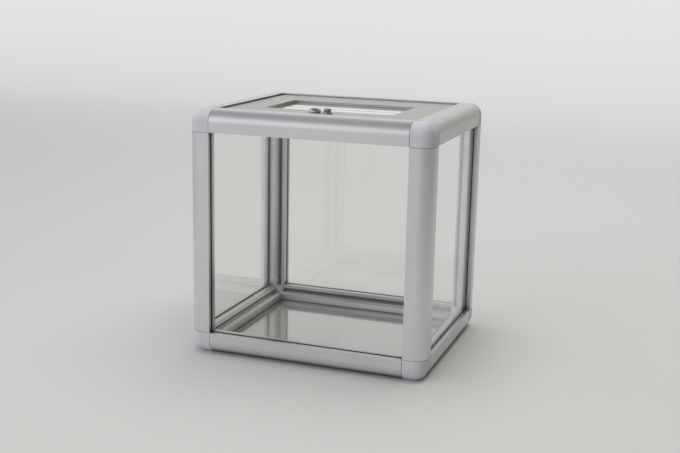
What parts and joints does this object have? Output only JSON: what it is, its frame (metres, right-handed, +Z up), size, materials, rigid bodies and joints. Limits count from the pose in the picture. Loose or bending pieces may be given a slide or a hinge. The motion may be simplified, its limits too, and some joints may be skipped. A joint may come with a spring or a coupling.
{
  "type": "ballot box",
  "caption": "Clear-walled ballot box in a rounded aluminium profile frame with plastic corner pieces and a hinged lid that has a slotted clear window and cam locks.",
  "frame": {"origin": "centre of the rest face, on the surface that the box stands on", "axes": "+Z up, +X to the right of the front, +Y to the rear, towards the lid's hinge"},
  "size_m": [0.335, 0.282, 0.3405],
  "materials": {
    "frame_profile": "satin anodised",
    "corner_plastic": "fine moulded texture",
    "clear_pane": "clear, polished",
    "black_seal": "matt",
    "black_plastic": "matt",
    "lid_sheet": "brushed, anodised",
    "tape": "foam tape",
    "steel": "zinc plated",
    "chrome": "bright"
  },
  "bodies": {
    "frame": {"post_front_left": "frame_profile", "post_front_right": "frame_profile", "post_rear_left": "frame_profile", "post_rear_right": "frame_profile", "top_rail_front": "frame_profile", "top_rail_rear": "frame_profile", "top_rail_left": "frame_profile", "top_rail_right": "frame_profile", "bottom_rail_front": "frame_profile", "bottom_rail_rear": "frame_profile", "bottom_rail_left": "frame_profile", "bottom_rail_right": "frame_profile", "connector_top_front_left": "corner_plastic", "connector_top_front_right": "corner_plastic", "connector_top_rear_left": "corner_plastic", "connector_top_rear_right": "corner_plastic", "connector_bottom_front_left": "corner_plastic", "connector_bottom_front_right": "corner_plastic", "connector_bottom_rear_left": "corner_plastic", "connector_bottom_rear_right": "corner_plastic", "grub_screws": "steel", "pane_front": "clear_pane", "pane_rear": "clear_pane", "pane_left": "clear_pane", "pane_right": "clear_pane", "floor_panel": "clear_pane", "seal_front": "black_seal", "seal_rear": "black_seal", "seal_left": "black_seal", "seal_right": "black_seal", "seal_floor": "black_seal", "ledge_seal_left": "black_seal", "ledge_seal_right": "black_seal", "ledge_seal_front_left": "black_seal", "ledge_seal_front_right": "black_seal", "hinge_block_left": "black_plastic", "hinge_block_right": "black_plastic", "hinge_pin_left": "steel", "hinge_pin_right": "steel"},
    "lid": {"lid_plate": "lid_sheet", "lid_window": "clear_pane", "window_tape": "tape", "hinge_ear_left": "lid_sheet", "hinge_ear_right": "lid_sheet", "ear_studs": "steel", "ear_nuts": "steel", "lock_housing_left": "chrome", "lock_housing_right": "chrome", "lock_nut_left": "chrome", "lock_nut_right": "chrome"},
    "lock_left": {"lock_plug_left": "steel", "cam_left": "steel", "cam_screw_left": "steel"},
    "lock_right": {"lock_plug_right": "steel", "cam_right": "steel", "cam_screw_right": "steel"}
  },
  "joints": [
    {"name": "lid_hinge", "type": "hinge", "parent": "frame", "child": "lid", "pos_m": [0, 0.096, 0.32825], "axis": [-1, 0, 0], "range_deg": [0, 110]},
    {"name": "lock_left_turn", "type": "hinge", "parent": "lid", "child": "lock_left", "pos_m": [-0.009, -0.086, 0.33], "axis": [0, 0, 1], "range_deg": [0, 90]},
    {"name": "lock_right_turn", "type": "hinge", "parent": "lid", "child": "lock_right", "pos_m": [0.009, -0.086, 0.33], "axis": [0, 0, -1], "range_deg": [0, 90]}
  ]
}
